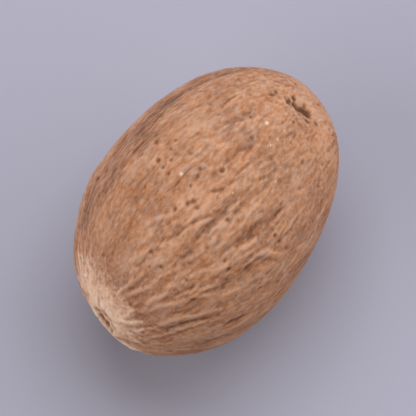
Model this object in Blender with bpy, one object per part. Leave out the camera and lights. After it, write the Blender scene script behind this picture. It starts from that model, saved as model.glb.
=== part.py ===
"""A whole nutmeg: the dried seed without its shell, lying on its side as it comes to rest.

The seed's long axis is X. The stalk end, with its pale round scar (the hilum), is at -X, and the
end with the ragged dark dimple (the chalaza) is at +X. Z is up, and the seed rests on a small flat
spot at Z = 0. The origin is under the middle of its bounding box. All lengths are in metres.

The skin's grain runs slantwise, in lines that leave the scar and come together again at the far
pole, as the meridians of a globe do. Furrows follow it.
"""

import cmath
import math

import bmesh
import bpy
from mathutils import Vector, noise

MM = 0.001

# Driving dimensions of the body.
LENGTH = 29.0 * MM
WIDTH = 20.5 * MM
HEIGHT = 20.1 * MM
CELLS = 28  # squares along each edge of the cube that the skin starts from

# How the body differs from an ellipsoid, as shares of its radius.
FULLNESS = 0.025  # both shoulders stand out by this much
STALK_HEAVY = 0.033  # the stalk half is fuller, and the other half slimmer, by this much
STALK_HEAVY_PEAK = 2 / (3 * math.sqrt(3))  # the largest value of t - t**3, which brings it to 1
BOW = 0.30 * MM  # how far both ends bend towards -Y
OVAL = 0.010  # the section is this much wider along the slanted diameter than across it
OVAL_ANGLE = math.radians(35)

# Soft lumps left by drying.
LUMP_DEPTH = 0.16 * MM
LUMP_SIZE = 6.5 * MM
LUMP_PLACE = Vector((3.7, 1.3, 8.1))

# Where the grain comes together again. Tilts are angles from the +X end, on the ellipsoid's own
# parameter, and azimuths are angles round the seed from the top, positive towards -Y.
FAR_POLE_TILT = math.radians(30)
FAR_POLE_AZIMUTH = math.radians(118)

# Furrows along the grain, which wander a little and stop short of both its ends.
FURROWS = 30
FURROW_DEPTH = 0.30 * MM
FURROW_SHALLOWEST = 0.40  # as a share of the depth
FURROW_WIDTH = 0.55 * MM
FURROW_SPREAD = 0.6  # how far one may stray from even spacing, as a share of that spacing
FURROW_WANDER = math.radians(7)
FURROW_WAVES = 2.6
FURROW_STARTS = (-0.94, -0.50)  # along the grain, from -1 at the scar to 1 at the far pole
FURROW_ENDS = (0.00, 0.62)
FURROW_FADE = 0.3

# One side is smoother than the rest.
SMOOTH_AZIMUTH = math.radians(-32)
SMOOTH_HALF_ANGLE = math.radians(38)
SMOOTH_SHARE = 0.55  # how much of a furrow's depth is lost there

# The raphe, a broader seam along the grain on the far upper side.
RAPHE_AZIMUTH = math.radians(-62)
RAPHE_WANDER = math.radians(6)
RAPHE_WAVES = 2.1
RAPHE_DEPTH = 0.36 * MM
RAPHE_WIDTH = 1.05 * MM
RAPHE_STARTS = (-0.95, -0.60)
RAPHE_ENDS = (0.55, 0.90)

# The round stalk scar, at the -X end and a little up and to the +Y side: a crater inside a low
# lip. The end is blunt round it.
SCAR_TILT = math.radians(168)
SCAR_AZIMUTH = math.radians(-65)
SCAR_BLUNT_RADIUS = 3.8 * MM
SCAR_BLUNT_DEPTH = 0.40 * MM
SCAR_LIP_RADIUS = 1.75 * MM
SCAR_LIP_WIDTH = 0.55 * MM
SCAR_LIP_HEIGHT = 0.22 * MM
SCAR_PIT_RADIUS = 1.15 * MM
SCAR_PIT_DEPTH = 0.60 * MM
SCAR_CALM = (1.8 * MM, 3.5 * MM)  # furrows fade in between these distances from the scar

# The dimple near the +X end: a soft hollow with a torn trough across it.
DIMPLE_TILT = math.radians(38)
DIMPLE_AZIMUTH = math.radians(24)
DIMPLE_RADIUS = 2.3 * MM
DIMPLE_DEPTH = 0.32 * MM
TROUGH_LENGTH = 1.45 * MM
TROUGH_WIDTH = 0.66 * MM
TROUGH_DEPTH = 0.45 * MM

# The flat spot that the seed rests on.
REST_CUT = 0.18 * MM
REST_CALM = (1.7 * MM, 4.2 * MM)  # furrows fade in between these distances from the spot

SKIN_COLOUR = (0.455, 0.245, 0.148, 1.0)
SKIN_ROUGHNESS = 0.68

GOLDEN = (math.sqrt(5) - 1) / 2
TINY = 1e-9


def smoothstep(low, high, value):
    """0 below low, 1 above high, and a smooth rise between them."""
    share = min(max((value - low) / (high - low), 0.0), 1.0)
    return share * share * (3 - 2 * share)


def bell(distance, width):
    """1 at distance 0, falling to 1/e at width."""
    return math.exp(-((distance / width) ** 2))


def between(ends, share):
    """The value at this share of the way from the first end to the second."""
    return ends[0] + (ends[1] - ends[0]) * share


def wrapped(angle):
    """The same angle between -pi and pi."""
    return (angle + math.pi) % math.tau - math.pi


def azimuth_of(direction):
    """The angle round the long axis, 0 at the top (+Z) and positive towards -Y."""
    return math.atan2(-direction.y, direction.z)


def direction_at(tilt, azimuth):
    """The unit direction at an angle from the +X end, on the side that azimuth gives."""
    across = math.sin(tilt)
    return Vector((math.cos(tilt), -across * math.sin(azimuth), across * math.cos(azimuth)))


def scattered(index, turn):
    """A number from 0 to 1 that jumps about evenly as index grows. turn picks the series."""
    return (0.5 + (index + 1) * GOLDEN * turn) % 1.0


def body_point(direction):
    """The smooth body's surface in this direction: a bowed egg that is a little out of round."""
    along = direction.x
    shoulder = 4 * along**2 * (1 - along**2)
    heavy = (along - along**3) / STALK_HEAVY_PEAK
    radial = 1 + FULLNESS * shoulder - STALK_HEAVY * heavy
    radial *= 1 + OVAL * math.cos(2 * (azimuth_of(direction) - OVAL_ANGLE))
    return Vector(
        (
            LENGTH / 2 * along,
            WIDTH / 2 * direction.y * radial - BOW * along**2,
            HEIGHT / 2 * direction.z * radial,
        )
    )


def lumps(point):
    """Slow swells and hollows over the whole skin."""
    return LUMP_DEPTH * noise.noise(point / LUMP_SIZE + LUMP_PLACE)


class Grain:
    """The lines that the skin's furrows follow.

    They are read off a flat map of the globe, seen from the far pole, on which each line is a
    straight ray out of the scar.
    """

    def __init__(self):
        scar = direction_at(SCAR_TILT, SCAR_AZIMUTH)
        self.pole = direction_at(FAR_POLE_TILT, FAR_POLE_AZIMUTH)
        self.axis = (self.pole - scar).normalized()
        self.side = self.pole.cross(Vector((0, 1, 0))).normalized()
        self.other = self.pole.cross(self.side)
        self.scar = self.mapped(scar)

    def mapped(self, direction):
        """The direction's place on the flat map, as a complex number."""
        away = max(1 - direction.dot(self.pole), TINY)
        return complex(direction.dot(self.side), direction.dot(self.other)) / away

    def turn(self, direction):
        """Which line the direction is on, as an angle round the grain."""
        return cmath.phase(self.mapped(direction) - self.scar)

    def place(self, direction):
        """The line, the share of the way along it (-1 at the scar, 1 at the far pole), and the
        length of skin that a turn of one radian covers there."""
        ray = abs(self.mapped(direction) - self.scar)
        share = (ray**2 - 1) / (ray**2 + 1)
        girth = (WIDTH + HEIGHT) / 4 * ray * (1 - direction.dot(self.pole))
        return self.turn(direction), share, girth


def furrow(index, turn, share, girth):
    """The height of one furrow, negative in its bed, at a place on the grain."""
    start = between(FURROW_STARTS, scattered(index, 3))
    end = between(FURROW_ENDS, scattered(index, 7))
    length_share = smoothstep(start, start + FURROW_FADE, share)
    length_share *= 1 - smoothstep(end - FURROW_FADE, end, share)
    if length_share <= 0:
        return 0.0
    middle = math.tau * (index + FURROW_SPREAD * (scattered(index, 2) - 0.5)) / FURROWS
    middle += FURROW_WANDER * math.sin(FURROW_WAVES * share + math.tau * scattered(index, 5))
    depth = FURROW_DEPTH * between((FURROW_SHALLOWEST, 1.0), scattered(index, 11))
    return -depth * length_share * bell(wrapped(turn - middle) * girth, FURROW_WIDTH)


def smoothness(direction):
    """How much shallower the furrows are on this side of the seed, as a share."""
    return SMOOTH_SHARE * bell(wrapped(azimuth_of(direction) - SMOOTH_AZIMUTH), SMOOTH_HALF_ANGLE)


def raphe(middle, turn, share, girth):
    """The seam along the grain line that has this turn."""
    length_share = smoothstep(*RAPHE_STARTS, share) * (1 - smoothstep(*RAPHE_ENDS, share))
    middle += RAPHE_WANDER * math.sin(RAPHE_WAVES * share)
    return -RAPHE_DEPTH * length_share * bell(wrapped(turn - middle) * girth, RAPHE_WIDTH)


def scar(point, centre):
    """The blunt end round the stalk scar, with the scar's crater and lip."""
    distance = (point - centre).length
    blunt = SCAR_BLUNT_DEPTH * bell(distance, SCAR_BLUNT_RADIUS)
    lip = SCAR_LIP_HEIGHT * bell(distance - SCAR_LIP_RADIUS, SCAR_LIP_WIDTH)
    return lip - blunt - SCAR_PIT_DEPTH * bell(distance, SCAR_PIT_RADIUS)


def dimple(point, centre, crosswise):
    """The hollow near the +X end and the torn trough that crosses it."""
    offset = point - centre
    across = offset.dot(crosswise)
    along = (offset - across * crosswise).length
    hollow = DIMPLE_DEPTH * bell(offset.length, DIMPLE_RADIUS)
    return -hollow - TROUGH_DEPTH * bell(across, TROUGH_LENGTH) * bell(along, TROUGH_WIDTH)


def outward_normal(direction):
    """The outward normal of the plain ellipsoid, close enough to the body's for its relief."""
    sides = (LENGTH / 2, WIDTH / 2, HEIGHT / 2)
    return Vector(c / side for c, side in zip(direction, sides)).normalized()


def skin_point(direction, grain, marks):
    """The finished surface in this direction, with every mark raised or sunk along the normal."""
    point = body_point(direction)
    calm = smoothstep(*REST_CALM, (point - marks["rest"]).length)
    calm *= smoothstep(*SCAR_CALM, (point - marks["scar"]).length)
    place = grain.place(direction)
    grooves = sum(furrow(i, *place) for i in range(FURROWS)) * (1 - smoothness(direction))
    grooves += raphe(marks["raphe_turn"], *place)
    height = lumps(point) + calm * grooves
    height += scar(point, marks["scar"])
    height += dimple(point, marks["dimple"], marks["crosswise"])
    return point + height * outward_normal(direction)


def landmarks(grain):
    """Where the scar, the dimple, the raphe and the resting spot are on the smooth body."""
    dimple_direction = direction_at(DIMPLE_TILT, DIMPLE_AZIMUTH)
    crosswise = outward_normal(dimple_direction).cross(Vector((1, 0, 0))).normalized()
    return {
        "scar": body_point(direction_at(SCAR_TILT, SCAR_AZIMUTH)),
        "dimple": body_point(dimple_direction),
        "crosswise": crosswise,
        "raphe_turn": grain.turn(direction_at(math.pi / 2, RAPHE_AZIMUTH)),
        "rest": body_point(Vector((0, 0, -1))),
    }


def rounded_cube(axis):
    """A cube cut into even squares, blown up to a unit sphere and turned to face along the axis."""
    cage = bmesh.new()
    bmesh.ops.create_cube(cage, size=2.0)
    bmesh.ops.subdivide_edges(cage, edges=cage.edges[:], cuts=CELLS - 1, use_grid_fill=True)
    for vert in cage.verts:
        even = Vector(math.tan(c * math.pi / 4) for c in vert.co)
        vert.co = even.normalized()
    turn = Vector((1, 0, 0)).rotation_difference(axis).to_matrix()
    bmesh.ops.transform(cage, matrix=turn.to_4x4(), verts=cage.verts)
    return cage


def press_flat(skin):
    """Lowers the skin onto Z = 0 with its underside pressed flat, and centres it over the origin."""
    floor = min(vert.co.z for vert in skin.verts) + REST_CUT
    for vert in skin.verts:
        vert.co.z = max(vert.co.z, floor) - floor
    for axis in (0, 1):
        places = [vert.co[axis] for vert in skin.verts]
        middle = (min(places) + max(places)) / 2
        for vert in skin.verts:
            vert.co[axis] -= middle


def skin_material():
    """Dry, dull brown seed skin."""
    material = bpy.data.materials.new("nutmeg_skin")
    material.use_nodes = True
    shader = material.node_tree.nodes["Principled BSDF"]
    shader.inputs["Base Color"].default_value = SKIN_COLOUR
    shader.inputs["Roughness"].default_value = SKIN_ROUGHNESS
    shader.inputs["Metallic"].default_value = 0.0
    return material


def make_nutmeg(collection):
    """Builds the seed as one closed mesh."""
    grain = Grain()
    marks = landmarks(grain)
    skin = rounded_cube(grain.axis)
    for vert in skin.verts:
        vert.co = skin_point(vert.co.copy(), grain, marks)
    press_flat(skin)
    mesh = bpy.data.meshes.new("nutmeg")
    skin.to_mesh(mesh)
    skin.free()
    mesh.shade_smooth()
    mesh.materials.append(skin_material())
    seed = bpy.data.objects.new("nutmeg", mesh)
    collection.objects.link(seed)
    return seed


def main():
    for old in list(bpy.data.objects):
        bpy.data.objects.remove(old, do_unlink=True)
    collection = bpy.data.collections.new("whole_nutmeg")
    bpy.context.scene.collection.children.link(collection)
    make_nutmeg(collection)


main()
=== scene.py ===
"""A whole nutmeg on a pale floor: its wrinkled skin, its scar and pits, and a soft studio round it.

The skin starts as an even cage laid on the fixed solid, and every furrow, ridge, pit and scar is
then pressed into it. Lengths inside the classes are in millimetres, and the finished mesh is in
metres, in the frame of the solid: +X from the stalk scar to the torn dimple, +Z up.
"""

import itertools
import logging
import math
from dataclasses import dataclass, field
from enum import Enum

import bmesh
import bpy
import numpy as np
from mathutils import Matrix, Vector
from mathutils.bvhtree import BVHTree


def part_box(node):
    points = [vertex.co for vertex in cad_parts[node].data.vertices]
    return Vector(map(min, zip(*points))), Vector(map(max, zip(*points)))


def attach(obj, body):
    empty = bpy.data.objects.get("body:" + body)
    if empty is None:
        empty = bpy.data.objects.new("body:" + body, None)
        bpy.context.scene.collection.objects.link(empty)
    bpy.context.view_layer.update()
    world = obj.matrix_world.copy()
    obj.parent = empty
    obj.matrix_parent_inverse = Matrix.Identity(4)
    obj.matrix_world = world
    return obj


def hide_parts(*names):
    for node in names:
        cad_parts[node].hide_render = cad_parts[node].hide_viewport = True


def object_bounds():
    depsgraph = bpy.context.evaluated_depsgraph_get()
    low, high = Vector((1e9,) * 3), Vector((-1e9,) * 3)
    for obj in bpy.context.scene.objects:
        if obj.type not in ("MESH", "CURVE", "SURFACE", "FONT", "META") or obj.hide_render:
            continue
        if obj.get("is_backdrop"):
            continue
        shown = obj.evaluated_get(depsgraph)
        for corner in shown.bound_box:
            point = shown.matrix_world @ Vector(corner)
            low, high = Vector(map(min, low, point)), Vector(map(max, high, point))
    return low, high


MM = 0.001
TINY = 1e-6  # stands in for 0 in a division or a logarithm
NODE = "nutmeg"
BODY = "root"

Colour = tuple[float, float, float]
Place = tuple[float, float]  # the share of the way along the seed, and an azimuth in degrees
Span = tuple[float, float]  # the two ends of a range, in either order
Socket = bpy.types.NodeSocket

log = logging.getLogger("nutmeg")

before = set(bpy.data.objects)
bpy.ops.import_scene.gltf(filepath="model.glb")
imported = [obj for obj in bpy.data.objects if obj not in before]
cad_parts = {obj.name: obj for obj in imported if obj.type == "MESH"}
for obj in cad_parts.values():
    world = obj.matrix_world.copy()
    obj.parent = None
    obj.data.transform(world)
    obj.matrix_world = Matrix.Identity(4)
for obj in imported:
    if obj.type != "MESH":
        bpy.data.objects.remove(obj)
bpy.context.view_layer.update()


class Profile(Enum):
    """How a layer of wrinkles is cut across."""

    FURROWED = "narrow furrows between rounded swells"
    RIDGED = "narrow ridges between rounded hollows"
    ROLLING = "swells and hollows alike"


def smoothstep(start: float, end: float, value: np.ndarray) -> np.ndarray:
    """Returns a smooth change from 0 at the start to 1 at the end, whichever is the larger."""
    share = np.clip((value - start) / (end - start), 0.0, 1.0)
    return share * share * (3 - 2 * share)


def bell(distance: np.ndarray, width: float) -> np.ndarray:
    """Returns a bell that falls from 1 at no distance to 1/e at the width."""
    return np.exp(-((distance / width) ** 2))


def eased(start: float, share: np.ndarray) -> np.ndarray:
    """Returns the start where the share is 0 and 1 where it is 1, in proportion between."""
    return start + (1 - start) * share


def wrapped(angle: np.ndarray) -> np.ndarray:
    """Returns the same angles between -pi and pi."""
    return (angle + math.pi) % math.tau - math.pi


def unit(vectors: np.ndarray) -> np.ndarray:
    """Returns the vectors brought to length 1."""
    return vectors / np.linalg.norm(vectors, axis=-1, keepdims=True)


def drawn(dice: np.random.Generator, *spans: Span) -> list[float]:
    """Draws one number from each span, in their order."""
    return [dice.uniform(*ends) for ends in spans]


def placed(name: str, data: bpy.types.ID) -> bpy.types.Object:
    """Makes an object of its data and puts it in the scene.

    Args:
        name: The object's name.
        data: Its mesh, light or camera.

    Returns:
        The object.
    """
    thing = bpy.data.objects.new(name, data)
    bpy.context.scene.collection.objects.link(thing)
    return thing


def aim(thing: bpy.types.Object, target: Vector, towards: Vector, distance: float) -> None:
    """Stands a light or the camera off from its target and turns it to face that.

    Args:
        thing: The light or camera.
        target: What it faces.
        towards: The unit direction from the target to where it stands.
        distance: How far from the target it stands, in metres.
    """
    thing.location = target + towards * distance
    thing.rotation_mode = "QUATERNION"
    thing.rotation_quaternion = (-towards).to_track_quat("-Z", "Y")


def direction_at(along: float, azimuth: float) -> np.ndarray:
    """Finds a direction on the seed.

    Args:
        along: The share of the way along +X, from -1 at one end to 1 at the other.
        azimuth: The angle round the seed from the top, in degrees, positive towards -Y.

    Returns:
        The unit direction.
    """
    turn = math.radians(azimuth)
    across = math.sqrt(1 - along**2)
    return np.array([along, -across * math.sin(turn), across * math.cos(turn)])


class GradientNoise:
    """Smooth seeded noise in space, from about -1 to 1, with one swell to each unit of length."""

    TABLE = 256
    GAIN = 1.6

    def __init__(self, seed: int) -> None:
        """Deals out the noise's slopes.

        Args:
            seed: Which noise to make. The same seed always gives the same noise.
        """
        dice = np.random.default_rng(seed)
        self.order = dice.permutation(self.TABLE)
        self.slopes = unit(dice.normal(size=(self.TABLE, 3)))

    def at(self, places: np.ndarray) -> np.ndarray:
        """Reads the noise.

        Args:
            places: Points in space, one to a row.

        Returns:
            The noise at each place.
        """
        cell = np.floor(places).astype(int)
        rest = places - cell
        fade = rest**3 * (rest * (rest * 6 - 15) + 10)
        total = np.zeros(len(places))
        for corner in itertools.product((0, 1), repeat=3):
            total += self._corner(cell, rest, fade, np.array(corner))
        return total * self.GAIN

    def _corner(
        self, cell: np.ndarray, rest: np.ndarray, fade: np.ndarray, corner: np.ndarray
    ) -> np.ndarray:
        """Gives one corner's share of the noise.

        Args:
            cell: The lattice cell that each place is in.
            rest: Each place inside its cell.
            fade: The smoothed place inside the cell.
            corner: Which of the cell's eight corners.

        Returns:
            The corner's weighted slope at each place.
        """
        spot = (cell + corner) % self.TABLE
        index = self.order[spot[:, 0]]
        index = self.order[(index + spot[:, 1]) % self.TABLE]
        index = self.order[(index + spot[:, 2]) % self.TABLE]
        slope = (self.slopes[index] * (rest - corner)).sum(1)
        weight = np.where(corner == 1, fade, 1 - fade).prod(1)
        return slope * weight


@dataclass
class SeedBody:
    """The plain smooth body of the seed, laid on the fixed solid.

    Places on it are given by the share of the way along +X, from -1 to 1, and the azimuth round
    the seed from the top, in degrees, positive towards -Y.

    Attributes:
        squares: Squares along each edge of the cube that the cage starts from.
        passes: How many times the laid cage is relaxed, to lose the solid's facets.
        scar: Where the stalk scar is, and all the grain's lines start.
        far_pole: Where the grain's lines come together again.
        ragged_size: The size of the swells that make the pits' edges ragged, in millimetres.
        ragged_seed: Which raggedness to make.
        cage: The mesh that becomes the skin.
        points: The cage's points on the smooth body, in millimetres.
        normals: The outward normal at each point.
    """

    squares: int = 128
    passes: int = 24
    scar: Place = (-0.978, -65.0)
    far_pole: Place = (0.866, 118.0)
    ragged_size: float = 0.5
    ragged_seed: int = 10
    cage: bmesh.types.BMesh = field(init=False, repr=False)
    points: np.ndarray = field(init=False, repr=False)
    normals: np.ndarray = field(init=False, repr=False)

    def build(self, node: bpy.types.Object) -> None:
        """Lays the cage on the solid and relaxes it.

        Args:
            node: The fixed solid that the skin follows.
        """
        low, high = (np.array(corner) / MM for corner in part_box(NODE))
        self.middle = (low + high) / 2
        self.half = (high - low) / 2
        self.waist = self.half[1:].mean()
        self.cage = self._rounded_cube()
        self.directions = unit(np.array([vert.co for vert in self.cage.verts]))
        self.edges = np.array([[v.index for v in edge.verts] for edge in self.cage.edges])
        self.faces = np.array([[v.index for v in face.verts] for face in self.cage.faces])
        self.links = np.bincount(self.edges.ravel(), minlength=len(self.directions))
        self.points = self._laid_on(node)
        for _ in range(self.passes):
            self.points = self.relaxed(self.points)
            self.points[:, 2] = np.maximum(self.points[:, 2], 0.0)
        self.normals = self.normals_of(self.points)
        self._survey()

    def _rounded_cube(self) -> bmesh.types.BMesh:
        """Cuts a cube into even squares, blows it up to a sphere and turns it along the grain.

        Returns:
            The cage, with numbered points.
        """
        cage = bmesh.new()
        bmesh.ops.create_cube(cage, size=2.0)
        edges = cage.edges[:]
        bmesh.ops.subdivide_edges(cage, edges=edges, cuts=self.squares - 1, use_grid_fill=True)
        for vert in cage.verts:
            vert.co = Vector(math.tan(c * math.pi / 4) for c in vert.co).normalized()
        axis = Vector(direction_at(*self.far_pole) - direction_at(*self.scar))
        turn = Vector((1, 0, 0)).rotation_difference(axis).to_matrix()
        bmesh.ops.transform(cage, matrix=turn.to_4x4(), verts=cage.verts)
        cage.verts.index_update()
        return cage

    def _laid_on(self, node: bpy.types.Object) -> np.ndarray:
        """Sends each point of the cage straight out from the middle onto the solid.

        Args:
            node: The fixed solid.

        Returns:
            The points on the solid, in millimetres.
        """
        mesh = node.data
        places = [node.matrix_world @ vert.co for vert in mesh.vertices]
        tree = BVHTree.FromPolygons(places, [tuple(face.vertices) for face in mesh.polygons])
        start = Vector(self.middle * MM)
        rays = unit(self.directions * self.half)
        hits = [tree.ray_cast(start, Vector(ray))[0] for ray in rays]
        return np.array(hits) / MM

    def relaxed(self, values: np.ndarray) -> np.ndarray:
        """Moves each value halfway to the mean of its neighbours.

        Args:
            values: One value, or one row of values, for each point of the cage.

        Returns:
            The moved values.
        """
        first, second = self.edges.T
        columns = values.reshape(len(values), -1)
        moved = np.empty_like(columns)
        for index, column in enumerate(columns.T):
            total = np.bincount(first, column[second], len(column))
            total += np.bincount(second, column[first], len(column))
            moved[:, index] = (column + total / self.links) / 2
        return moved.reshape(values.shape)

    def normals_of(self, points: np.ndarray) -> np.ndarray:
        """Finds the outward normal at each point of the cage.

        Args:
            points: The cage's points.

        Returns:
            The unit normals.
        """
        corners = points[self.faces]
        facing = np.cross(corners[:, 2] - corners[:, 0], corners[:, 3] - corners[:, 1])
        total = np.zeros_like(points)
        for column in self.faces.T:
            for axis in range(3):
                total[:, axis] += np.bincount(column, facing[:, axis], len(points))
        return unit(total)

    def _survey(self) -> None:
        """Works out each point's place on the seed, which the marks are set out by.

        The grain's lines run from the stalk scar to the far pole, as the meridians of a globe run
        from pole to pole. They come from a flat map of the globe seen from the far pole, where
        each line is a straight ray out of the scar.
        """
        self.outward = unit((self.points - self.middle) / self.half)
        self.along = self.outward[:, 0]
        self.azimuth = np.degrees(np.arctan2(-self.outward[:, 1], self.outward[:, 2]))
        pole = direction_at(*self.far_pole)
        side = unit(np.cross(pole, [0.0, 1.0, 0.0]))
        self.map_axes = (side, np.cross(pole, side), pole)
        self.scar_on_map = self._mapped(direction_at(*self.scar)[None])[0]
        self.grain = self.grain_at(self.outward)
        ray = np.exp(self.grain.imag)
        self.girth = self.waist * ray * np.maximum(1 - self.outward @ pole, TINY)
        self.ragged = GradientNoise(self.ragged_seed).at(self.points / self.ragged_size)

    def _mapped(self, outward: np.ndarray) -> np.ndarray:
        """Maps directions onto the flat map.

        Args:
            outward: The directions.

        Returns:
            The complex place of each.
        """
        side, other, pole = self.map_axes
        away = np.maximum(1 - outward @ pole, TINY)
        return (outward @ side + 1j * (outward @ other)) / away

    def grain_at(self, outward: np.ndarray) -> np.ndarray:
        """Reads the grain's own coordinates.

        Args:
            outward: Directions from the seed's middle, on its own scale.

        Returns:
            A complex number for each direction: its real part is the turn round the seed in
            radians, and its imaginary part the run from scar to far pole, about 0 midway.
        """
        ray = self._mapped(outward) - self.scar_on_map
        return np.angle(ray) + 1j * np.log(np.maximum(np.abs(ray), TINY))

    def point_at(self, along: float, azimuth: float) -> np.ndarray:
        """Returns the body's own point that lies nearest this place."""
        return self.points[np.argmax(self.outward @ direction_at(along, azimuth))]

    def distance_to(self, place: np.ndarray) -> np.ndarray:
        """Returns how far every point of the body is from this place, in millimetres."""
        return np.linalg.norm(self.points - place, axis=1)


@dataclass
class Skin:
    """What has been pressed into the body so far.

    Attributes:
        height: How far each point stands out, in millimetres.
        pale: How creamy each point is, from 0 to 1.
        dark: How dark and torn each point is, from 0 to 1.
        grey: How dull and grey each point is, from 0 to 1.
    """

    height: np.ndarray
    pale: np.ndarray
    dark: np.ndarray
    grey: np.ndarray

    @classmethod
    def bare(cls, count: int) -> "Skin":
        """Returns a skin of this many points with nothing on it."""
        return cls(*(np.zeros(count) for _ in range(4)))


@dataclass(frozen=True)
class WrinkleNet:
    """A net of wrinkles drawn out along the grain.

    Attributes:
        spacing: The distance between wrinkles across the grain, in millimetres.
        stretch: How many times longer than wide the net's meshes are.
        depth: The height between a furrow's bed and a swell's crown, in millimetres.
        profile: How the wrinkles are cut across.
        wander: How far a wrinkle strays sideways, in millimetres.
        seed: Which net to make.
    """

    spacing: float
    stretch: float
    depth: float
    profile: Profile
    wander: float
    seed: int

    LEVELS = 4
    SLIMMEST = 7.9
    STRAYS = ((100, 4.0, 1.0), (200, 1.5, 0.5))
    LEVEL_SHIFT = 40
    SWELL_GAIN = 2.0
    SWELL_POWER = 0.75
    SWELL_MEAN = 0.6

    def heights(self, body: SeedBody) -> np.ndarray:
        """Reads the net's relief.

        The net keeps its spacing where the grain's lines draw together, because finer nets are
        blended in there.

        Args:
            body: The seed's body.

        Returns:
            The height at each point, about as much above 0 as below.
        """
        noise = GradientNoise(self.seed)
        stray = np.zeros(len(body.points))
        for offset, size, share in self.STRAYS:
            places = body.points / (size * self.spacing)
            stray += share * GradientNoise(self.seed + offset).at(places)
        level = np.log2(np.clip(body.waist / body.girth, 1.0, self.SLIMMEST))
        total = np.zeros(len(level))
        for step in range(self.LEVELS):
            share = np.clip(1 - np.abs(level - step), 0, 1)
            if share.any():
                total += share * self._net(body, noise, stray, 2.0**step)
        return self.depth * total

    def _net(
        self, body: SeedBody, noise: GradientNoise, stray: np.ndarray, narrowing: float
    ) -> np.ndarray:
        """Draws the net at one fineness.

        Args:
            body: The seed's body.
            noise: The net's own noise.
            stray: How far each place strays, from about -1 to 1.
            narrowing: How many times the seed is slimmer here than at its waist.

        Returns:
            The net's relief, between about -0.5 and 0.5.
        """
        radius = body.waist / narrowing / self.spacing
        turn = body.grain.real + self.wander * stray / body.girth
        run = body.grain.imag * radius / self.stretch
        places = np.stack([np.cos(turn) * radius, np.sin(turn) * radius, run], 1)
        value = noise.at(places + self.LEVEL_SHIFT * narrowing)
        if self.profile is Profile.ROLLING:
            return value / 2
        swell = np.minimum(np.abs(value) * self.SWELL_GAIN, 1.0) ** self.SWELL_POWER
        relief = swell - self.SWELL_MEAN
        return relief if self.profile is Profile.FURROWED else -relief


@dataclass(frozen=True)
class Stroke:
    """One single wrinkle through a few places on the seed.

    Attributes:
        path: The places it runs through, each the share along the seed and an azimuth in degrees.
        width: Half its width, in millimetres.
        height: How far it stands out, or sinks in if negative, in millimetres.
        dark: How dark its bed is.
    """

    path: tuple[Place, ...]
    width: float
    height: float
    dark: float = 0.0

    def press(self, body: SeedBody, skin: Skin) -> None:
        """Adds the wrinkle to the skin."""
        places = np.stack([direction_at(*place) for place in self.path])
        press_wrinkle(body, skin, body.grain_at(places), self.width, self.height, self.dark)


WAVE = 0.08  # how far a wrinkle swings to either side, in millimetres
WAVE_RATE = 2.1  # its swing in radians for each millimetre along it
WAVE_SHIFT = 40.0  # sets the swings of neighbouring wrinkles apart
REACH = 0.8  # how far round a wrinkle's middle the skin is searched, as a share of its length
MARGIN = 0.15  # and how far beyond that, in the grain's own coordinates
TIP_STRENGTH = 0.25  # a wrinkle's height at its ends, as a share
TIP_LENGTH = 0.25  # the share of its length over which an end fades
TIP_WIDTH = 0.6  # its width where it has no height, as a share


def press_wrinkle(
    body: SeedBody,
    skin: Skin,
    path: np.ndarray,
    width: float,
    height: float,
    dark: float = 0.0,
    wave: float = WAVE,
) -> None:
    """Presses one wavering wrinkle into the skin.

    Args:
        body: The seed's body.
        skin: The skin to change.
        path: The places it runs through, in the grain's own coordinates.
        width: Half its width, in millimetres.
        height: How far it stands out, or sinks in if negative, in millimetres.
        dark: How dark its bed is.
        wave: How far it swings to either side, in millimetres.
    """
    offset = wrapped((body.grain - path[0]).real) + 1j * (body.grain - path[0]).imag
    corners = wrapped((path - path[0]).real) + 1j * (path - path[0]).imag
    legs = np.diff(corners)
    length = np.abs(legs).sum()
    near = np.flatnonzero(np.abs(offset - corners[-1] / 2) < REACH * length + MARGIN)
    girth = body.girth[near]
    phase = WAVE_RATE * offset[near].imag * girth + WAVE_SHIFT * path[0].real
    offset = offset[near] + wave * np.sin(phase) / girth
    nearest = np.full(len(near), np.inf)
    place = np.zeros(len(near))
    done = 0.0
    for start, leg in zip(corners, legs):
        step = np.clip(((offset - start) / leg).real, 0.0, 1.0)
        gap = np.abs(offset - start - step * leg) * girth
        closer = gap < nearest
        nearest[closer] = gap[closer]
        place[closer] = done + step[closer] * abs(leg) / length
        done += abs(leg) / length
    ends = smoothstep(0.0, TIP_LENGTH, place) * smoothstep(1.0, 1 - TIP_LENGTH, place)
    taper = eased(TIP_STRENGTH, ends)
    share = taper * bell(nearest, width * eased(TIP_WIDTH, taper))
    skin.height[near] += height * share
    skin.dark[near] = np.maximum(skin.dark[near], dark * share)


@dataclass(frozen=True)
class WrinkleSwarm:
    """Short wrinkles scattered all over the seed, each roughly along the grain.

    Attributes:
        count: How many there are.
        length: The shortest and the longest, in millimetres.
        width: Half the width of the finest and of the broadest, in millimetres.
        height: How far the lowest and the highest stand out, or sink in if negative, in
            millimetres.
        slant: How far they run off the grain, as a spread in radians.
        seed: Which scattering to make.
    """

    count: int
    length: Span
    width: Span
    height: Span
    slant: float
    seed: int

    MOST_SPAN = 1.2

    def press(self, body: SeedBody, skin: Skin, strength: np.ndarray) -> None:
        """Adds the wrinkles to the skin.

        Args:
            body: The seed's body.
            skin: The skin to change.
            strength: How strong the wrinkles are at each point.
        """
        dice = np.random.default_rng(self.seed)
        starts = dice.integers(len(body.points), size=self.count)
        for start in starts:
            length, width, height = drawn(dice, self.length, self.width, self.height)
            slant = dice.normal() * self.slant
            span = min(length / body.girth[start], self.MOST_SPAN)
            turn = span * complex(math.sin(slant), math.cos(slant))
            path = body.grain[start] + turn * np.array([0.0, 1.0])
            press_wrinkle(body, skin, path, width, height * strength[start])


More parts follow.
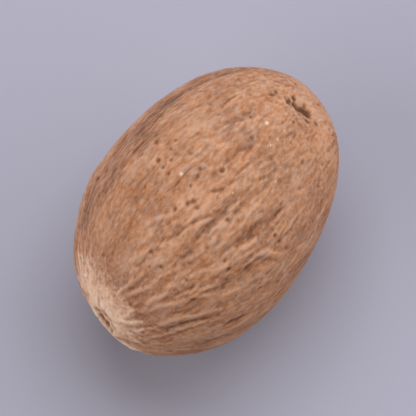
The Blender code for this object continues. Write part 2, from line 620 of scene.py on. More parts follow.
@dataclass(frozen=True)
class RidgeFan:
    """Long low ridges that run out of the stalk scar like the ribs of a fan.

    Attributes:
        count: How many there are, all the way round.
        start: How near the scar they may start, and how far, as shares of the seed's waist.
        end: How near the scar they may end, and how far, as shares of the seed's waist.
        width: Half the width of the finest and of the broadest, in millimetres.
        height: How far the lowest and the highest stand out, in millimetres.
        seed: Which fan to make.
    """

    count: int
    start: Span
    end: Span
    width: Span
    height: Span
    seed: int

    UNEVEN = 0.7
    BENDS = (0.05, 0.08)
    WAVE = 0.16

    def heights(self, body: SeedBody) -> np.ndarray:
        """Works out the fan's relief.

        Args:
            body: The seed's body.

        Returns:
            The height at each point.
        """
        fan = Skin.bare(len(body.points))
        dice = np.random.default_rng(self.seed)
        for index in range(self.count):
            turn = math.tau * (index + dice.uniform(0.0, self.UNEVEN)) / self.count
            turns = turn + np.array([0.0, *(dice.normal() * bend for bend in self.BENDS)])
            near, far = (math.log(run / 2) for run in drawn(dice, self.start, self.end))
            path = turns + 1j * np.array([near, (near + far) / 2, far])
            width, height = drawn(dice, self.width, self.height)
            press_wrinkle(body, fan, path, width, height, wave=self.WAVE)
        return fan.height


@dataclass(frozen=True)
class Pit:
    """One small pock in the skin.

    Attributes:
        along: Its place along the seed, from -1 to 1.
        azimuth: Its angle round the seed, in degrees.
        radius: Its radius in millimetres.
        depth: Its depth in millimetres.
        dark: How dark its bed is.
        rim: How far its rim stands up, in millimetres.
    """

    along: float
    azimuth: float
    radius: float
    depth: float
    dark: float = 0.5
    rim: float = 0.0

    RAGGED = 0.3
    RIM_RADIUS = 1.8
    RIM_WIDTH = 0.7

    def press(self, body: SeedBody, skin: Skin) -> None:
        """Sinks the pock into the skin.

        Args:
            body: The seed's body.
            skin: The skin to change.
        """
        distance = body.distance_to(body.point_at(self.along, self.azimuth))
        distance *= 1 + self.RAGGED * body.ragged
        share = bell(distance, self.radius)
        from_rim = distance - self.RIM_RADIUS * self.radius
        skin.height += self.rim * bell(from_rim, self.RIM_WIDTH * self.radius)
        skin.height -= self.depth * share
        skin.dark = np.maximum(skin.dark, self.dark * share)


@dataclass(frozen=True)
class Fleck:
    """One small pale crumb on the skin.

    Attributes:
        along: Its place along the seed, from -1 to 1.
        azimuth: Its angle round the seed, in degrees.
        radius: Its radius in millimetres.
    """

    along: float
    azimuth: float
    radius: float

    HEIGHT = 0.05
    PALE = 0.8

    def press(self, body: SeedBody, skin: Skin) -> None:
        """Raises and pales the crumb.

        Args:
            body: The seed's body.
            skin: The skin to change.
        """
        share = bell(body.distance_to(body.point_at(self.along, self.azimuth)), self.radius)
        skin.height += self.HEIGHT * share
        skin.pale = np.maximum(skin.pale, self.PALE * share)


@dataclass(frozen=True)
class PockSwarm:
    """Small pocks scattered all over the seed.

    Attributes:
        count: How many there are.
        radius: The smallest and the largest radius, in millimetres.
        depth: The shallowest and the deepest, in millimetres.
        dark: How dark the palest and the darkest bed are.
        seed: Which scattering to make.
    """

    count: int
    radius: Span
    depth: Span
    dark: Span
    seed: int

    def press(self, body: SeedBody, skin: Skin) -> None:
        """Sinks the pocks into the skin.

        Args:
            body: The seed's body.
            skin: The skin to change.
        """
        dice = np.random.default_rng(self.seed)
        for index in dice.integers(len(body.points), size=self.count):
            sizes = drawn(dice, self.radius, self.depth, self.dark)
            Pit(body.along[index], body.azimuth[index], *sizes).press(body, skin)


@dataclass
class Grain:
    """All the wrinkles of the dried skin.

    Attributes:
        calm_azimuth: The middle of the side with the fewest wrinkles, in degrees.
        calm_width: How far round from there it falls off, in radians.
        calm_end: Where along the seed it ends, from its full calm to none.
        band_azimuth: The middle of the dull band of fine straight lines, in degrees.
        band_width: How far round from there the band falls off, in radians.
        band_middle: The middle of its length, as a share along the seed.
        band_reach: How far along the seed from there it falls off.
        patch_size: The size of the patches of more and fewer wrinkles, in millimetres.
        patch_seed: Which patches to make.
        scar_edge: How far from the scar the wrinkles start and are full, in millimetres.
        bold_half: Where along the seed the bold wrinkles are weakest and where they are full.
        ridges: The broad ridges, which are bold.
        net: The furrows that part them.
        fine: Finer ridges.
        crumb: The finest unevenness.
        lines: The fine straight lines of the dull band.
        ridgelets: Short ridges, which are bold too.
        creases: Short furrows.
        fan: The ridges that run out of the stalk scar.
    """

    calm_azimuth: float = -30.0
    calm_width: float = 0.55
    calm_end: Span = (0.25, 0.75)
    band_azimuth: float = -59.0
    band_width: float = 0.24
    band_middle: float = 0.12
    band_reach: float = 0.6
    patch_size: float = 4.0
    patch_seed: int = 21
    scar_edge: Span = (0.9, 3.6)
    bold_half: Span = (0.45, -0.35)
    ridges: WrinkleNet = WrinkleNet(1.6, 5.0, 0.085, Profile.RIDGED, 0.4, 11)
    net: WrinkleNet = WrinkleNet(1.0, 2.2, 0.04, Profile.FURROWED, 0.4, 12)
    fine: WrinkleNet = WrinkleNet(0.52, 1.3, 0.038, Profile.RIDGED, 0.25, 13)
    crumb: WrinkleNet = WrinkleNet(0.34, 1.2, 0.045, Profile.ROLLING, 0.1, 14)
    lines: WrinkleNet = WrinkleNet(0.50, 7.0, 0.085, Profile.FURROWED, 0.1, 15)
    ridgelets: WrinkleSwarm = WrinkleSwarm(420, (1.2, 4.0), (0.14, 0.24), (0.02, 0.07), 0.25, 16)
    creases: WrinkleSwarm = WrinkleSwarm(300, (0.8, 3.0), (0.13, 0.20), (-0.06, -0.01), 0.3, 17)
    fan: RidgeFan = RidgeFan(34, (0.22, 0.40), (0.6, 1.3), (0.17, 0.26), (0.05, 0.11), 19)

    # How strong each kind is in the calm, at the scar and at its weak end, as a share.
    BOLD_IN_CALM = 0.2
    BOLD_WEAKEST = 0.35
    NET_AT_SCAR = 0.3
    NET_IN_CALM = 0.5
    FINE_IN_CALM = 0.65
    CRUMB_AT_SCAR = 1.6
    FAN_IN_CALM = 0.2
    CREASES_IN_CALM = 0.5

    # How the patches change the bold wrinkles, and how grey they and the band are.
    PATCH_MEAN = 0.8
    PATCH_SWING = 0.6
    PATCH_RANGE = (0.2, 1.4)
    GREY_PATCH = 0.5
    GREY_BAND = 0.9

    def press(self, body: SeedBody, skin: Skin) -> None:
        """Adds every wrinkle, each kind where it is strong.

        Args:
            body: The seed's body.
            skin: The skin to change.
        """
        still, full = self.calm_end
        calm = bell(wrapped(np.radians(body.azimuth - self.calm_azimuth)), self.calm_width)
        lively = 1 - calm * smoothstep(full, still, body.along)
        band = bell(wrapped(np.radians(body.azimuth - self.band_azimuth)), self.band_width)
        band *= bell(body.along - self.band_middle, self.band_reach)
        patches = GradientNoise(self.patch_seed).at(body.points / self.patch_size)
        away = smoothstep(*self.scar_edge, body.distance_to(body.point_at(*body.scar)))
        bold = away * eased(self.BOLD_IN_CALM, lively)
        bold *= eased(self.BOLD_WEAKEST, smoothstep(*self.bold_half, body.along))
        bold *= np.clip(self.PATCH_MEAN + self.PATCH_SWING * patches, *self.PATCH_RANGE)
        net = self.net.heights(body) * eased(self.NET_AT_SCAR, away)
        skin.height += self.ridges.heights(body) * bold
        skin.height += net * eased(self.NET_IN_CALM, lively)
        skin.height += self.fine.heights(body) * eased(self.FINE_IN_CALM, lively)
        skin.height += self.crumb.heights(body) * eased(self.CRUMB_AT_SCAR, away)
        skin.height += self.lines.heights(body) * band
        skin.height += self.fan.heights(body) * eased(self.FAN_IN_CALM, lively)
        self.ridgelets.press(body, skin, bold)
        self.creases.press(body, skin, away * eased(self.CREASES_IN_CALM, lively))
        skin.grey = np.clip(self.GREY_BAND * band + self.GREY_PATCH * patches, 0.0, 1.0)


@dataclass
class StalkScar:
    """The pale scar where the stalk was, with its hollow and the cracks out of it.

    Attributes:
        lobes: The creamy patches, each with its place and its radius in millimetres.
        hollow: The pits that make up the hollow, a wide dip and a slit along the scar's rim. The
        wide dip's darkening is painted shade.
        edge: How far beyond its radius a patch's colour starts, and how far it is full, in
            millimetres, inside the radius if negative.
        ragged: The seed, size and depth of each noise that frays the patches, in millimetres.
        cracks: How many cracks run out of the scar's middle.
        crack_start: How near the middle a crack starts, on the body's flat map.
        crack_end: How near it may end, and how far, on the same map.
        crack_seed: Which cracks to make.
    """

    lobes: tuple[tuple[float, float, float], ...] = (
        (-0.98, -65, 2.4),
        (-0.90, -52, 2.5),
        (-0.84, -62, 1.6),
        (-0.94, -26, 2.4),
        (-0.95, -10, 2.2),
        (-0.98, 160, 1.8),
    )
    hollow: tuple[Pit, ...] = (
        # The wide dip: its dark bed is painted shade beside the slit, on a barely sunk dip.
        Pit(-0.960, -12, 1.30, 0.03, 0.14),
        Pit(-0.966, -84, 0.36, 0.20, 0.50),
        Pit(-0.980, -98, 0.40, 0.28, 0.62),
        Pit(-0.990, -108, 0.40, 0.28, 0.60),
        Pit(-0.998, -120, 0.34, 0.20, 0.50),
        Pit(-0.997, 150, 0.26, 0.12, 0.40),
    )
    edge: Span = (2.1, -1.9)
    ragged: tuple[tuple[int, float, float], ...] = ((31, 1.6, 0.8), (33, 0.6, 0.5))
    cracks: int = 8
    crack_start: float = 0.05
    crack_end: Span = (0.10, 0.18)
    crack_seed: int = 32

    UNEVEN = 0.6
    BEND = 0.1

    def press(self, body: SeedBody, skin: Skin) -> None:
        """Paints and presses the scar.

        Args:
            body: The seed's body.
            skin: The skin to change.
        """
        frayed = np.zeros(len(body.points))
        for seed, size, depth in self.ragged:
            frayed += depth * GradientNoise(seed).at(body.points / size)
        outer, inner = self.edge
        for along, azimuth, radius in self.lobes:
            distance = body.distance_to(body.point_at(along, azimuth)) + frayed
            patch = smoothstep(radius + outer, radius + inner, distance)
            skin.pale = np.maximum(skin.pale, patch)
        for pit in self.hollow:
            pit.press(body, skin)
        dice = np.random.default_rng(self.crack_seed)
        for index in range(self.cracks):
            turn = math.tau * (index + dice.uniform(0.0, self.UNEVEN)) / self.cracks
            ends = np.array([turn, turn + dice.normal() * self.BEND])
            runs = np.log([self.crack_start, dice.uniform(*self.crack_end)])
            path = ends + 1j * runs
            press_wrinkle(body, skin, path, width=0.16, height=-0.08, dark=0.15, wave=0.05)


@dataclass
class TornDimple:
    """The ragged dark tear near the +X end, a chain of pits with loose ones beside it.

    Attributes:
        pits: A wide dip under the tear, the tear's pits from its shallow end to its deep one,
            and the loose ones.
    """

    pits: tuple[Pit, ...] = (
        Pit(0.80, 21, 0.75, 0.08, 0.22),
        Pit(0.77, 10, 0.24, 0.25, 0.80),
        Pit(0.79, 12, 0.25, 0.25, 0.80),
        Pit(0.82, 13, 0.24, 0.30, 0.90),
        Pit(0.80, 16, 0.30, 0.20, 0.75),
        Pit(0.80, 19, 0.24, 0.25, 0.80),
        Pit(0.80, 22, 0.25, 0.25, 0.85),
        Pit(0.81, 25, 0.25, 0.25, 0.80),
        Pit(0.82, 28, 0.25, 0.28, 0.85),
        Pit(0.81, 31, 0.36, 0.50, 1.00),
        Pit(0.84, 27, 0.25, 0.20, 0.40),
        Pit(0.75, 32, 0.22, 0.30, 0.85),
        Pit(0.77, 41, 0.21, 0.18, 0.50),
        Pit(0.73, -2, 0.24, 0.10, 0.25),
        Pit(0.76, -2, 0.22, 0.10, 0.28),
    )

    def press(self, body: SeedBody, skin: Skin) -> None:
        """Sinks the pits into the skin."""
        for pit in self.pits:
            pit.press(body, skin)


@dataclass(frozen=True)
class Tones:
    """The skin's colours, from a furrow's bed to a ridge's crown, partly its own and partly painted
    shade in the beds and painted light on the crowns.

    Attributes:
        furrow: The colour of a furrow's bed, darkened partly by painted shade.
        middle: The colour of even ground.
        crown: The colour of a ridge's crown, lightened partly by painted light.
    """

    furrow: Colour
    middle: Colour
    crown: Colour

    STOPS = (0.08, 0.5, 0.92)


@dataclass(frozen=True)
class Speckle:
    """A noise over the skin.

    Attributes:
        size: The size of its patches, in millimetres.
        detail: How many finer noises are added.
        factor: How much it counts in a blend.
        stretch: How many times longer than wide the patches are along the grain, or 0 for a
            noise that has nothing to do with the grain.
    """

    size: float
    detail: float
    factor: float
    stretch: float = 0.0


@dataclass(frozen=True)
class Blend:
    """A sum of the mesh's own values and of noises.

    Attributes:
        start: What the sum starts from.
        values: The name of each of the mesh's own values, and how much it counts.
        speckles: The noises.
    """

    start: float
    values: tuple[tuple[str, float], ...]
    speckles: tuple[Speckle, ...]


@dataclass
class NodeBench:
    """Wires one material's nodes.

    Attributes:
        tree: The material's nodes.
    """

    tree: bpy.types.NodeTree

    def value(self, name: str, output: str = "Fac") -> Socket:
        """Reads one of the mesh's own values.

        Args:
            name: The value's name.
            output: Which of the node's outputs to read.

        Returns:
            The socket that gives it.
        """
        node = self.tree.nodes.new("ShaderNodeAttribute")
        node.attribute_name = name
        return node.outputs[output]

    def noise(self, speckle: Speckle) -> Socket:
        """Makes a noise over the skin.

        Args:
            speckle: The noise to make.

        Returns:
            The socket that gives it.
        """
        noise = self.tree.nodes.new("ShaderNodeTexNoise")
        noise.inputs["Detail"].default_value = speckle.detail
        if speckle.stretch:
            mapping = self.tree.nodes.new("ShaderNodeMapping")
            mapping.inputs["Scale"].default_value = (1.0, 1.0, 1 / speckle.stretch)
            self.tree.links.new(self.value("grain", "Vector"), mapping.inputs["Vector"])
            noise.inputs["Scale"].default_value = 1 / speckle.size
            place = mapping.outputs["Vector"]
        else:
            noise.inputs["Scale"].default_value = 1 / (speckle.size * MM)
            place = self.tree.nodes.new("ShaderNodeTexCoord").outputs["Object"]
        self.tree.links.new(place, noise.inputs["Vector"])
        return noise.outputs["Fac"]

    def blend(self, blend: Blend) -> Socket:
        """Adds up a blend.

        Args:
            blend: What to add up.

        Returns:
            The socket of the sum.
        """
        parts = [(self.value(name), factor) for name, factor in blend.values]
        parts += [(self.noise(speckle), speckle.factor) for speckle in blend.speckles]
        total = self.tree.nodes.new("ShaderNodeValue").outputs[0]
        total.default_value = blend.start
        for socket, factor in parts:
            step = self.tree.nodes.new("ShaderNodeMath")
            step.operation = "MULTIPLY_ADD"
            self.tree.links.new(socket, step.inputs[0])
            step.inputs[1].default_value = factor
            self.tree.links.new(total, step.inputs[2])
            total = step.outputs[0]
        return total

    def mix(self, share: Socket, under: Socket, over: Socket | Colour) -> Socket:
        """Lays one colour over another.

        Args:
            share: How much of the upper colour shows.
            under: The colour underneath.
            over: The colour laid over it, plain or from a socket.

        Returns:
            The mixed colour.
        """
        mix = self.tree.nodes.new("ShaderNodeMix")
        mix.data_type = "RGBA"
        self.tree.links.new(share, mix.inputs["Factor"])
        self.tree.links.new(under, mix.inputs["A"])
        if isinstance(over, tuple):
            mix.inputs["B"].default_value = (*over, 1.0)
        else:
            self.tree.links.new(over, mix.inputs["B"])
        return mix.outputs["Result"]

    def ramp(self, tone: Socket, tones: Tones) -> Socket:
        """Reads the colour of a tone.

        Args:
            tone: The tone, 0 in the deepest furrow and 1 on the highest crown.
            tones: The colours to read.

        Returns:
            The colour's socket.
        """
        ramp = self.tree.nodes.new("ShaderNodeValToRGB")
        low, middle, high = tones.STOPS
        stops = ramp.color_ramp.elements
        stops[0].position = low
        stops[0].color = (*tones.furrow, 1.0)
        stops[1].position = high
        stops[1].color = (*tones.crown, 1.0)
        halfway = stops.new(middle)
        halfway.color = (*tones.middle, 1.0)
        self.tree.links.new(tone, ramp.inputs["Fac"])
        return ramp.outputs["Color"]


@dataclass(frozen=True)
class SkinFinish:
    """The dry, dull skin of the seed, coloured by how it is wrinkled, with painted shade in hollows
    and painted light on crowns.

    Attributes:
        warm: The colours of the brown skin.
        dull: The colours of its greyer patches.
        cream: The colours of the stalk scar.
        torn: The colour of torn and pitted places.
        tone: Tells a furrow's bed, at 0, from a ridge's crown, at 1, and so paints shade into
            hollows and light onto crowns.
        dullness: Says how dull and grey the skin is.
        paleness: Says how creamy it is, with crowns paler partly as painted light.
        grit: The height of the grain that is too fine for the mesh.
        grit_depth: How deep that grain is, in millimetres.
        grit_strength: How strongly it shows.
        roughness: How dull the skin's gloss is.
        specular: How strongly it mirrors, as the shader counts it.
    """

    warm: Tones = Tones((0.225, 0.078, 0.028), (0.465, 0.194, 0.086), (0.625, 0.318, 0.172))
    dull: Tones = Tones((0.197, 0.093, 0.052), (0.385, 0.200, 0.121), (0.560, 0.340, 0.236))
    cream: Tones = Tones((0.590, 0.325, 0.200), (0.960, 0.610, 0.415), (1.000, 0.740, 0.530))
    torn: Colour = (0.105, 0.042, 0.020)
    tone: Blend = Blend(
        -1.04,
        (("crest_and_shade", 1.0), ("grey", -0.38)),
        (Speckle(2.6, 2.0, 0.75), Speckle(0.42, 2.0, 0.90, 1.3), Speckle(0.15, 2.0, 0.50, 1.3)),
    )
    dullness: Blend = Blend(
        -1.45, (("grey", 0.5),), (Speckle(2.2, 3.0, 1.3), Speckle(0.4, 2.0, 2.4, 1.4))
    )
    paleness: Blend = Blend(
        -1.25,
        (("pale", 1.15), ("crest_and_shade", 0.40)),
        (Speckle(1.3, 3.0, 0.6), Speckle(0.32, 3.0, 0.9)),
    )
    grit: Blend = Blend(0.0, (), (Speckle(0.24, 3.0, 0.5), Speckle(0.20, 2.0, 0.7, 1.8)))
    grit_depth: float = 0.05
    grit_strength: float = 0.7
    roughness: float = 0.66
    specular: float = 0.28

    def material(self) -> bpy.types.Material:
        """Wires the finish.

        Returns:
            The material.
        """
        material = bpy.data.materials.new("nutmeg_skin_finish")
        material.use_nodes = True
        bench = NodeBench(material.node_tree)
        shader = bench.tree.nodes["Principled BSDF"]
        shader.inputs["Roughness"].default_value = self.roughness
        shader.inputs["Specular IOR Level"].default_value = self.specular
        bench.tree.links.new(self._colour(bench), shader.inputs["Base Color"])
        bench.tree.links.new(self._bump(bench), shader.inputs["Normal"])
        return material

    def _colour(self, bench: NodeBench) -> Socket:
        """Colours the skin from its relief, with patches, fibres and specks, and with painted shade
        in hollows and painted light on crowns.

        Args:
            bench: The material's nodes.

        Returns:
            The colour's socket.
        """
        # Painted shade in hollows and painted light on crowns, over the skin's own darker beds and
        # paler crowns.
        tone = bench.blend(self.tone)
        warm, dull, cream = (
            bench.ramp(tone, tones) for tones in (self.warm, self.dull, self.cream)
        )
        colour = bench.mix(bench.blend(self.dullness), warm, dull)
        # Crowns creamier, partly as painted light.
        colour = bench.mix(bench.blend(self.paleness), colour, cream)
        return bench.mix(bench.value("dark"), colour, self.torn)

    def _bump(self, bench: NodeBench) -> Socket:
        """Roughens the skin with grain too fine for the mesh.

        Args:
            bench: The material's nodes.

        Returns:
            The normal's socket.
        """
        bump = bench.tree.nodes.new("ShaderNodeBump")
        bump.inputs["Strength"].default_value = self.grit_strength
        bump.inputs["Distance"].default_value = self.grit_depth * MM
        bench.tree.links.new(bench.blend(self.grit), bump.inputs["Height"])
        return bump.outputs["Normal"]


@dataclass
class Nutmeg:
    """The whole seed: a body with every mark pressed into it, and its finish.

    Most places of the single marks are numbers that a measuring script printed, copied in here.
    They aren't worked out from the frame.

    Attributes:
        body: The plain body that the marks are pressed into.
        grain: The wrinkles all over it.
        pocks: The small pocks all over it.
        scar: The stalk scar.
        dimple: The tear near the +X end.
        finish: The skin's material.
        ridges: Single ridges, each in its own place, as are the next three.
        furrows: Single furrows.
        pits: Single pits.
        flecks: Single pale crumbs.
        crest_rounds: How many rounds the skin is smoothed to find crowns by, and how much each
        smoothing counts. The crowns and hollows found set painted light and shade.
    """

    body: SeedBody = field(default_factory=SeedBody)
    grain: Grain = field(default_factory=Grain)
    pocks: PockSwarm = PockSwarm(170, (0.11, 0.18), (0.03, 0.09), (0.1, 0.35), 18)
    scar: StalkScar = field(default_factory=StalkScar)
    dimple: TornDimple = field(default_factory=TornDimple)
    finish: SkinFinish = SkinFinish()
    ridges: tuple[Stroke, ...] = (
        Stroke(((-0.82, -9), (-0.75, -5), (-0.67, -1)), 0.18, 0.08),
        Stroke(((-0.86, -13), (-0.68, -3)), 0.18, 0.06),
        Stroke(((-0.66, -10), (-0.52, -5)), 0.18, 0.09),
        Stroke(((-0.66, -13), (-0.57, -9)), 0.20, 0.06),
        Stroke(((-0.53, -11), (-0.44, -7)), 0.20, 0.06),
        Stroke(((-0.83, -3), (-0.77, 3), (-0.69, 8), (-0.57, 13), (-0.40, 18)), 0.24, 0.12),
        Stroke(((-0.39, 18), (-0.24, 20)), 0.28, 0.11),
        Stroke(((-0.45, -15), (-0.29, -4), (-0.20, -2), (-0.13, 1)), 0.20, 0.09),
        Stroke(((-0.34, 8), (-0.23, 11), (-0.10, 15)), 0.34, 0.09),
        Stroke(((-0.32, 17), (-0.14, 19), (-0.03, 20)), 0.26, 0.09),
        Stroke(((-0.24, -17), (0.00, -12), (0.17, -8)), 0.15, 0.03),
        Stroke(((-0.81, 12), (-0.72, 18), (-0.67, 21)), 0.20, 0.08),
        Stroke(((-0.81, 18), (-0.70, 27), (-0.58, 34), (-0.47, 44)), 0.22, 0.10),
        Stroke(((-0.64, 26), (-0.49, 36), (-0.41, 41)), 0.22, 0.08),
        Stroke(((-0.46, 26), (-0.33, 36)), 0.22, 0.08),
        Stroke(((-0.88, 34), (-0.77, 36), (-0.61, 47), (-0.53, 54), (-0.44, 57)), 0.25, 0.13),
        Stroke(((-0.92, 43), (-0.77, 48), (-0.66, 53), (-0.59, 58)), 0.22, 0.09),
        Stroke(((-0.31, 41), (-0.18, 44), (-0.12, 47), (-0.10, 52), (-0.05, 57)), 0.22, 0.11),
        Stroke(((-0.22, 34), (-0.10, 40)), 0.24, 0.10),
        Stroke(((-0.17, 44), (-0.08, 54)), 0.22, 0.06),
        Stroke(((-0.09, 17), (0.01, 20)), 0.22, 0.14),
        Stroke(((0.19, -7), (0.26, -4)), 0.18, 0.06),
        Stroke(((0.30, -11), (0.37, -9)), 0.18, 0.06),
    )
    furrows: tuple[Stroke, ...] = (
        Stroke(((-0.79, -4), (-0.73, 0), (-0.67, 3)), 0.17, -0.07, 0.08),
        Stroke(((-0.67, -7), (-0.58, -4)), 0.16, -0.10, 0.12),
        Stroke(((-0.78, 31), (-0.71, 35), (-0.60, 40)), 0.17, -0.09, 0.15),
        Stroke(((-0.86, 38), (-0.78, 42), (-0.64, 50), (-0.57, 56)), 0.18, -0.10, 0.16),
        Stroke(((-0.80, 48), (-0.70, 54)), 0.18, -0.08, 0.14),
        Stroke(((-0.65, 24), (-0.54, 30)), 0.17, -0.11, 0.14),
        Stroke(((-0.62, 28), (-0.60, 38)), 0.16, -0.05, 0.10),
        Stroke(((-0.39, 4), (-0.31, 5)), 0.20, -0.08, 0.14),
        Stroke(((-0.32, 44), (-0.18, 47)), 0.17, -0.07, 0.10),
        Stroke(((-0.51, -5), (-0.42, 1), (-0.31, 5)), 0.24, -0.07, 0.14),
        Stroke(((-0.31, 5), (-0.24, 8), (-0.18, 13), (-0.08, 14)), 0.18, -0.10, 0.22),
        Stroke(((-0.24, -15), (-0.13, -11), (0.00, -10), (0.17, -6)), 0.13, -0.04, 0.08),
        Stroke(((-0.06, 5), (0.02, 10)), 0.17, -0.09, 0.22),
        Stroke(((0.02, 9), (0.15, 13)), 0.14, -0.05, 0.10),
        Stroke(((0.07, 40), (0.16, 41)), 0.17, -0.09, 0.20),
        Stroke(((0.13, -5), (0.22, -3)), 0.16, -0.06, 0.10),
        Stroke(((-0.07, -46), (0.03, -46)), 0.15, -0.09, 0.22),
        Stroke(((0.12, -50), (0.29, -51)), 0.18, -0.07, 0.12),
        Stroke(((0.29, -44), (0.40, -43)), 0.18, -0.07, 0.12),
        Stroke(((0.47, -21), (0.60, -19)), 0.14, -0.10, 0.35),
        Stroke(((0.56, 25), (0.61, 26)), 0.15, -0.08, 0.22),
    )
    pits: tuple[Pit, ...] = (
        Pit(0.10, 3, 0.20, 0.17, 0.42, 0.03),
        Pit(-0.20, -1, 0.24, 0.14, 0.30),
        Pit(-0.17, 1, 0.24, 0.14, 0.30),
        Pit(-0.19, 4, 0.22, 0.11, 0.26),
        Pit(-0.27, -4, 0.18, 0.09, 0.21),
        Pit(-0.10, -5, 0.18, 0.09, 0.21),
        Pit(-0.02, -5, 0.16, 0.08, 0.17),
        Pit(0.03, -6, 0.18, 0.09, 0.17),
        Pit(0.08, -15, 0.18, 0.09, 0.17),
        Pit(-0.10, -18, 0.20, 0.09, 0.21),
        Pit(-0.01, -22, 0.16, 0.11, 0.30, 0.02),
        Pit(-0.08, -23, 0.17, 0.12, 0.30, 0.03),
        Pit(-0.06, -28, 0.24, 0.09, 0.17, 0.04),
        Pit(0.11, -27, 0.15, 0.09, 0.21),
        Pit(0.05, -37, 0.24, 0.11, 0.21),
        Pit(-0.24, -60, 0.24, 0.14, 0.30),
        Pit(-0.29, -70, 0.30, 0.15, 0.30),
        Pit(-0.13, 20, 0.18, 0.12, 0.30),
        Pit(-0.27, 16, 0.20, 0.10, 0.21),
        Pit(-0.22, 32, 0.18, 0.10, 0.26),
        Pit(-0.33, 32, 0.18, 0.10, 0.26),
        Pit(-0.35, 37, 0.22, 0.14, 0.38),
        Pit(-0.55, 23, 0.20, 0.10, 0.26),
        Pit(-0.61, 1, 0.16, 0.10, 0.26),
        Pit(-0.58, 7, 0.22, 0.12, 0.30),
        Pit(-0.54, -3, 0.20, 0.12, 0.30),
        Pit(0.48, 39, 0.20, 0.11, 0.21),
        Pit(-0.01, 46, 0.18, 0.12, 0.30),
        Pit(-0.01, 51, 0.19, 0.12, 0.26),
        Pit(-0.12, 56, 0.20, 0.08, 0.17),
        Pit(-0.01, 58, 0.18, 0.10, 0.21),
    )
    flecks: tuple[Fleck, ...] = (
        Fleck(-0.07, -12, 0.20),
        Fleck(0.53, 7, 0.18),
        Fleck(0.48, 18, 0.15),
        Fleck(0.26, 30, 0.16),
        Fleck(0.42, 16, 0.12),
        Fleck(0.02, 14, 0.10),
    )
    crest_rounds: tuple[tuple[int, float], ...] = ((6, 5.5), (60, 3.0))

    def build(self) -> bpy.types.Object:
        """Makes the seed's one piece.

        Returns:
            The piece.
        """
        self.body.build(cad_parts[NODE])
        skin = Skin.bare(len(self.body.points))
        marks = (self.grain, self.pocks, *self.ridges, *self.furrows, *self.pits, *self.flecks)
        for mark in (*marks, self.scar, self.dimple):
            mark.press(self.body, skin)
        points = self.body.points + skin.height[:, None] * self.body.normals
        points[:, 2] = np.maximum(points[:, 2], 0.0)
        piece = self._piece(points, skin)
        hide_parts(NODE)
        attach(piece, BODY)
        return piece

    def _crests_and_shade(self, points: np.ndarray) -> np.ndarray:
        """Tells crowns from hollows by how far each point stands out from its surroundings, to
        paint light onto crowns and shade into hollows.

        Args:
            points: The finished points, in millimetres.

        Returns:
            The value at each point: 0.5 on even ground, more on a crown, less in a hollow.
        """
        normals = self.body.normals_of(points)
        smooth, done = points, 0
        total = np.full(len(points), 0.5)
        for rounds, weight in self.crest_rounds:
            for _ in range(rounds - done):
                smooth = self.body.relaxed(smooth)
            done = rounds
            total += weight * ((points - smooth) * normals).sum(1)
        return np.clip(total, 0.0, 1.0)

    def _piece(self, points: np.ndarray, skin: Skin) -> bpy.types.Object:
        """Turns the finished points into a mesh with its values and finish.

        Args:
            points: The finished points, in millimetres.
            skin: What was pressed and painted.

        Returns:
            The piece.
        """
        body = self.body
        mesh = bpy.data.meshes.new("nutmeg_skin")
        body.cage.to_mesh(mesh)
        body.cage.free()
        mesh.vertices.foreach_set("co", (points * MM).ravel())
        mesh.shade_smooth()
        values = {
            # How far each point stands out; it sets painted shade in hollows and painted light on
            # crowns.
            "crest_and_shade": self._crests_and_shade(points),
            "pale": skin.pale,
            "dark": skin.dark,
            "grey": skin.grey,
        }
        for name, numbers in values.items():
            layer = mesh.attributes.new(name, "FLOAT", "POINT")
            layer.data.foreach_set("value", numbers.astype(np.float32))
        turn, run = body.grain.real, body.grain.imag
        grain = np.stack([np.cos(turn), np.sin(turn), run], 1) * body.waist
        layer = mesh.attributes.new("grain", "FLOAT_VECTOR", "POINT")
        layer.data.foreach_set("vector", grain.astype(np.float32).ravel())
        mesh.materials.append(self.finish.material())
        mesh.update()
        return placed("nutmeg_skin", mesh)


@dataclass(frozen=True)
class Softbox:
    """A soft square light that faces the seed.

    Attributes:
        name: The light's name.
        right: How far it is to the view's right, as a share.
        up: How far it is towards the view's top, as a share.
        back: How far it is towards the camera, as a share.
        distance: How far it is from the seed, in metres.
        size: The side of its face, in metres.
        power: Its power in watts.
        colour: The colour of its light.
    """

    name: str
    right: float
    up: float
    back: float
    distance: float
    size: float
    power: float
    colour: Colour

    def hang(self, target: Vector, right: Vector, up: Vector, back: Vector) -> None:
        """Hangs the light.

        Args:
            target: What it faces.
            right: The direction to the view's right.
            up: The direction to the view's top.
            back: The direction from the seed to the camera.
        """
        data = bpy.data.lights.new(self.name, "AREA")
        data.shape = "SQUARE"
        data.size = self.size
        data.energy = self.power
        data.color = self.colour
        towards = (right * self.right + up * self.up + back * self.back).normalized()
        aim(placed(self.name, data), target, towards, self.distance)


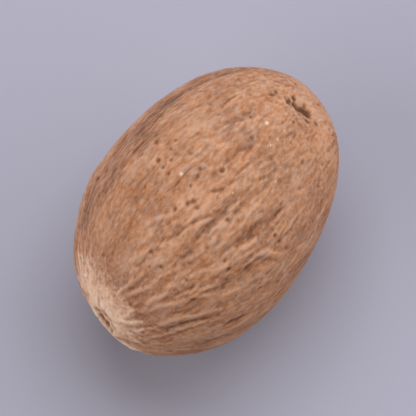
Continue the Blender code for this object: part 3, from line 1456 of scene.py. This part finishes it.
@dataclass
class Studio:
    """The pale floor, the soft lights and the camera.

    Attributes:
        azimuth: The camera's angle round the seed, in degrees.
        elevation: The camera's angle above the floor, in degrees.
        lens: The camera's focal length, in millimetres.
        field_width: The width of the view at the seed, in millimetres.
        floor_side: The floor's side, in metres.
        floor_colour: The floor's colour.
        floor_roughness: How dull the floor is.
        floor_specular: How strongly it mirrors, as the shader counts it.
        room_colour: The colour of the dim light that fills the room.
        room_strength: How strong that light is.
        clip: How near and how far the camera sees, in metres.
        lights: The soft lights.
    """

    azimuth: float = -54.9
    elevation: float = 75.0
    lens: float = 500.0
    field_width: float = 37.5
    floor_side: float = 4.0
    floor_colour: Colour = (0.403, 0.396, 0.477)
    floor_roughness: float = 0.9
    floor_specular: float = 0.2
    room_colour: Colour = (0.95, 0.88, 0.89)
    room_strength: float = 0.205
    clip: Span = (0.01, 20.0)
    lights: tuple[Softbox, ...] = (
        Softbox("key_light", 0.14, 0.76, 0.65, 0.55, 0.6, 3.06, (0.93, 0.96, 1.00)),
        Softbox("side_light", 0.90, 0.15, 0.42, 0.80, 0.8, 2.75, (1.00, 0.98, 0.94)),
        Softbox("fill_light", -0.82, -0.22, 0.53, 0.80, 0.8, 3.60, (1.00, 0.99, 0.98)),
    )

    def build(self) -> None:
        """Sets up the whole studio."""
        low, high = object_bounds()
        target = (low + high) / 2
        turn, rise = math.radians(self.azimuth), math.radians(self.elevation)
        flat = math.cos(rise)
        back = Vector((math.sin(turn) * flat, -math.cos(turn) * flat, math.sin(rise)))
        right = Vector((math.cos(turn), math.sin(turn), 0.0))
        up = back.cross(right)
        self._floor()
        self._world()
        self._camera(target, back)
        for light in self.lights:
            light.hang(target, right, up, back)

    def _floor(self) -> None:
        """Lays the floor."""
        bed = bmesh.new()
        bmesh.ops.create_grid(bed, x_segments=1, y_segments=1, size=self.floor_side / 2)
        mesh = bpy.data.meshes.new("floor")
        bed.to_mesh(mesh)
        bed.free()
        material = bpy.data.materials.new("floor_finish")
        material.use_nodes = True
        shader = material.node_tree.nodes["Principled BSDF"]
        shader.inputs["Base Color"].default_value = (*self.floor_colour, 1.0)
        shader.inputs["Roughness"].default_value = self.floor_roughness
        shader.inputs["Specular IOR Level"].default_value = self.floor_specular
        mesh.materials.append(material)
        floor = placed("floor", mesh)
        floor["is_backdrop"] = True

    def _world(self) -> None:
        """Fills the room with an even dim light."""
        world = bpy.data.worlds.new("studio")
        world.use_nodes = True
        background = world.node_tree.nodes["Background"]
        background.inputs["Color"].default_value = (*self.room_colour, 1.0)
        background.inputs["Strength"].default_value = self.room_strength
        bpy.context.scene.world = world

    def _camera(self, target: Vector, back: Vector) -> None:
        """Aims the camera at the seed.

        Args:
            target: The seed's middle.
            back: The direction from the seed to the camera.
        """
        data = bpy.data.cameras.new("camera")
        data.lens = self.lens
        data.clip_start, data.clip_end = self.clip
        camera = placed("camera", data)
        aim(camera, target, back, self.field_width * MM * data.lens / data.sensor_width)
        bpy.context.scene.camera = camera
        bpy.context.scene.view_settings.view_transform = "Standard"


def main() -> None:
    """Builds the nutmeg and its studio, and reports each piece."""
    logging.basicConfig(level=logging.INFO, format="%(name)s: %(message)s")
    piece = Nutmeg().build()
    log.info("%s: %d faces", piece.name, len(piece.data.polygons))
    Studio().build()
    log.info("studio ready")


if __name__ == "__main__":
    main()
